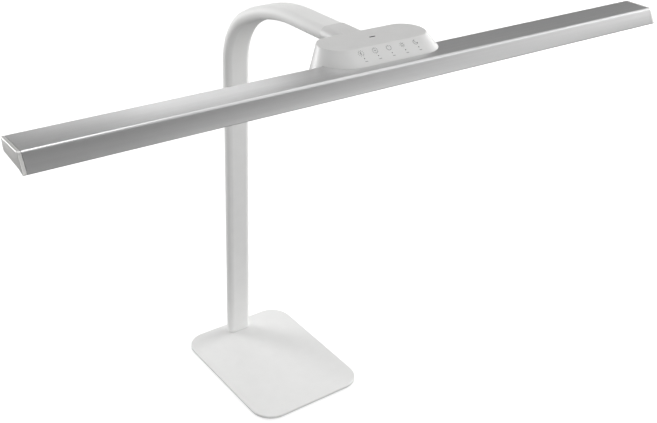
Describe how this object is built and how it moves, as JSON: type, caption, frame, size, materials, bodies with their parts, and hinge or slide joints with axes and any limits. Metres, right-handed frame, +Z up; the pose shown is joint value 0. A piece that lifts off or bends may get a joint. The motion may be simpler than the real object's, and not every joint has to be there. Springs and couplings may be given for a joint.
{
  "type": "light bar desk lamp",
  "caption": "Desk lamp with a long LED light bar and touch hub on a flexible flat-oval neck, flat-oval post and flat base plate.",
  "frame": {"origin": "centre of the base's underside, on the desk", "axes": "+X along the light bar (the user's right), -Y towards the person at the desk, +Z up"},
  "size_m": [0.8, 0.3528, 0.5404],
  "materials": {
    "white_powder_coat": "fine white powder coat, satin",
    "white_plastic": "white ABS, satin",
    "pale_grey_plastic": "pale grey touch panel, satin",
    "silver_grey_plastic": "silver-grey end caps, satin",
    "white_silicone": "white silicone sleeve, matt",
    "satin_aluminium": "silver satin anodised extrusion",
    "zinc_plated_steel": "zinc plated",
    "die_cast_zinc": "bare casting",
    "black_foam_rubber": "black foam rubber",
    "black_plastic": "moulded black",
    "smoked_acrylic": "smoked, clear gloss",
    "opal_acrylic": "opal, fine matt",
    "green_circuit_board": "solder mask",
    "white_circuit_board": "white solder mask"
  },
  "bodies": {
    "stand": {"base_pad": "black_foam_rubber", "base_plate": "white_powder_coat", "post_tube": "white_powder_coat", "base_screw_left": "zinc_plated_steel", "base_screw_right": "zinc_plated_steel", "neck_pin_1": "zinc_plated_steel", "post_foot_insert": "die_cast_zinc", "neck_root_socket": "die_cast_zinc", "dc_inlet": "black_plastic", "neck_sleeve_0": "white_silicone"},
    "neck_1": {"neck_link_1": "zinc_plated_steel", "neck_pin_2": "zinc_plated_steel", "neck_sleeve_1": "white_silicone"},
    "neck_2": {"neck_link_2": "zinc_plated_steel", "neck_pin_3": "zinc_plated_steel", "neck_sleeve_2": "white_silicone"},
    "neck_3": {"neck_link_3": "zinc_plated_steel", "neck_pin_4": "zinc_plated_steel", "neck_sleeve_3": "white_silicone"},
    "neck_4": {"neck_link_4": "zinc_plated_steel", "neck_pin_5": "zinc_plated_steel", "neck_sleeve_4": "white_silicone"},
    "neck_5": {"neck_link_5": "zinc_plated_steel", "neck_pin_6": "zinc_plated_steel", "neck_sleeve_5": "white_silicone"},
    "head": {"neck_sleeve_6": "white_silicone", "head_carrier": "die_cast_zinc", "hub_shell": "white_plastic", "hub_bottom_cover": "white_plastic", "reflector_tray": "white_plastic", "hub_top_plate": "pale_grey_plastic", "neck_collar": "pale_grey_plastic", "end_cap_left": "silver_grey_plastic", "end_cap_right": "silver_grey_plastic", "sensor_window": "smoked_acrylic", "indicator_pipe_1": "smoked_acrylic", "indicator_pipe_2": "smoked_acrylic", "indicator_pipe_3": "smoked_acrylic", "indicator_pipe_4": "smoked_acrylic", "indicator_pipe_5": "smoked_acrylic", "cover_screw_left": "zinc_plated_steel", "cover_screw_right": "zinc_plated_steel", "bar_nut_plate": "zinc_plated_steel", "head_screw_1": "zinc_plated_steel", "head_screw_2": "zinc_plated_steel", "head_screw_3": "zinc_plated_steel", "head_screw_4": "zinc_plated_steel", "touch_board": "green_circuit_board", "driver_board": "green_circuit_board", "led_board": "white_circuit_board", "bar_extrusion": "satin_aluminium", "diffuser": "opal_acrylic"}
  },
  "joints": [
    {"name": "neck_bend_1", "type": "hinge", "parent": "stand", "child": "neck_1", "pos_m": [0, 0.0918, 0.40145], "axis": [1, 0, 0], "range_deg": [-14, 14]},
    {"name": "neck_bend_2", "type": "hinge", "parent": "neck_1", "child": "neck_2", "pos_m": [0, 0.08821, 0.45259], "axis": [1, 0, 0], "range_deg": [-14, 14]},
    {"name": "neck_bend_3", "type": "hinge", "parent": "neck_2", "child": "neck_3", "pos_m": [0, 0.05883, 0.49382], "axis": [1, 0, 0], "range_deg": [-14, 14]},
    {"name": "neck_bend_4", "type": "hinge", "parent": "neck_3", "child": "neck_4", "pos_m": [0, 0.01241, 0.51571], "axis": [1, 0, 0], "range_deg": [-14, 14]},
    {"name": "neck_bend_5", "type": "hinge", "parent": "neck_4", "child": "neck_5", "pos_m": [0, -0.03803, 0.52547], "axis": [1, 0, 0], "range_deg": [-14, 14]},
    {"name": "neck_bend_6", "type": "hinge", "parent": "neck_5", "child": "head", "pos_m": [0, -0.08952, 0.526], "axis": [1, 0, 0], "range_deg": [-14, 14]}
  ]
}
